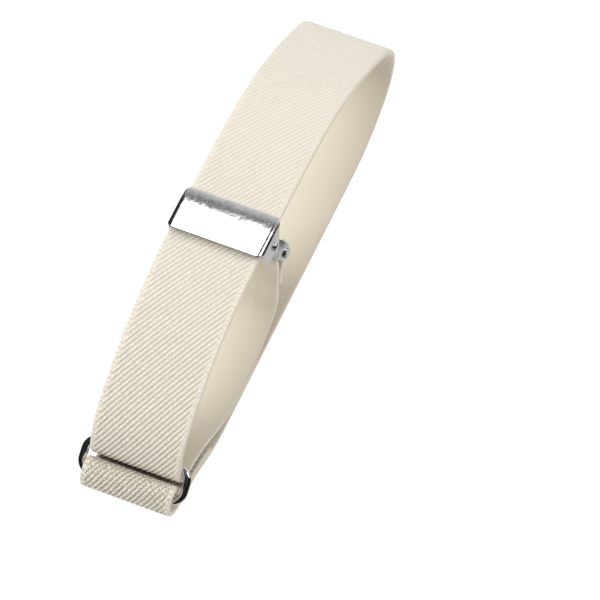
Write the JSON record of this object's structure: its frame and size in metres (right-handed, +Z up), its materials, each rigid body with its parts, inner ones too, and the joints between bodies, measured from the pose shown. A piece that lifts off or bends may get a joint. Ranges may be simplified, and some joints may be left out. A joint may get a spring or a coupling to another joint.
{
  "type": "shirt sleeve holder",
  "caption": "Elastic sleeve garter: a loop of cream ribbed elastic with a hinged chrome adjuster clasp on the upper run and an oval wire ring at one end.",
  "frame": {"origin": "bottom centre of the bounding box, on the surface that the loop lies on", "axes": "+X from the ring end to the far fold, +Y across the strap, +Z up"},
  "size_m": [0.1504, 0.0302, 0.0496],
  "materials": {
    "elastic": "matt cream diagonal-ribbed woven elastic",
    "chrome": "bright polished chrome plate",
    "bright_steel": "plain bright plated steel"
  },
  "bodies": {
    "root": {"elastic_band": "elastic", "oval_ring": "chrome", "clasp_cover": "chrome", "clasp_jaw": "bright_steel", "clasp_pin": "bright_steel"}
  },
  "joints": []
}
